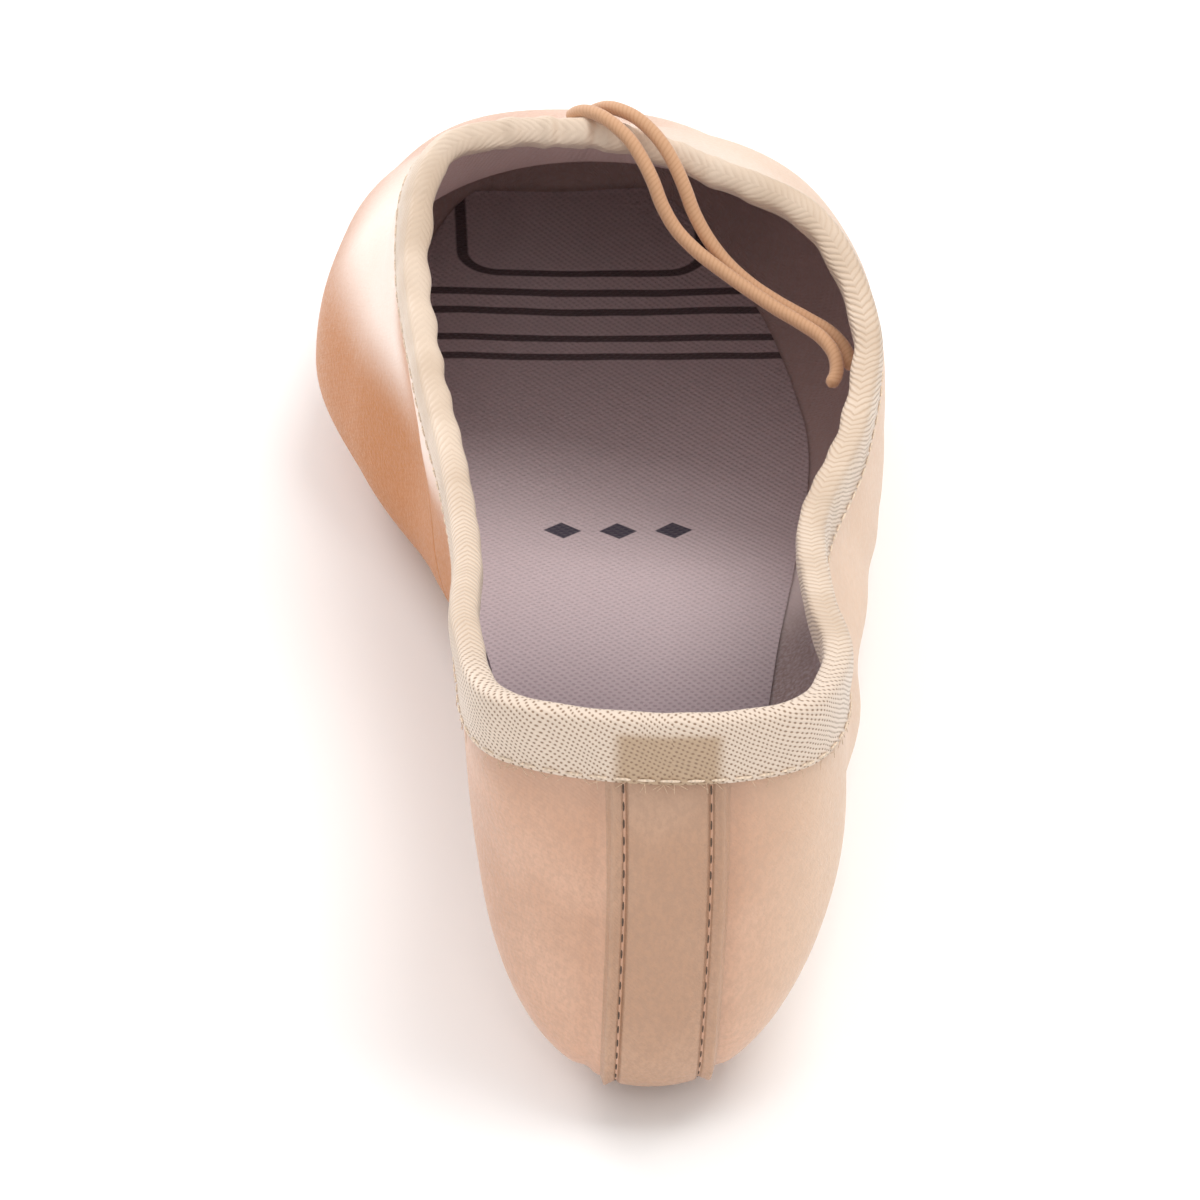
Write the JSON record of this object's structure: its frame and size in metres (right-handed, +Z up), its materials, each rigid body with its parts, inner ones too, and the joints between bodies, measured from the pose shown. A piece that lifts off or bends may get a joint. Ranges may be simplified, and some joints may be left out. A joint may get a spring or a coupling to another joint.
{
  "type": "pointe shoe",
  "caption": "Satin pointe shoe with a blocked toe box, gathered taped collar, cloth-covered insole, narrow leather sole and a drawstring at the throat.",
  "frame": {"origin": "on the floor under the middle of the shoe's length and width", "axes": "+Y from the heel towards the toe, +X to the right seen from behind, +Z up"},
  "size_m": [0.0886, 0.246, 0.0756],
  "materials": {
    "satin": "satin",
    "tape": "matte",
    "sock_cloth": "matte",
    "sole_leather": "matte",
    "cord": "matte"
  },
  "bodies": {
    "root": {"outsole": "sole_leather", "insole": "sock_cloth", "upper": "satin", "collar_binding": "tape", "drawstring_upper_end": "cord", "drawstring_lower_end": "cord"}
  },
  "joints": []
}
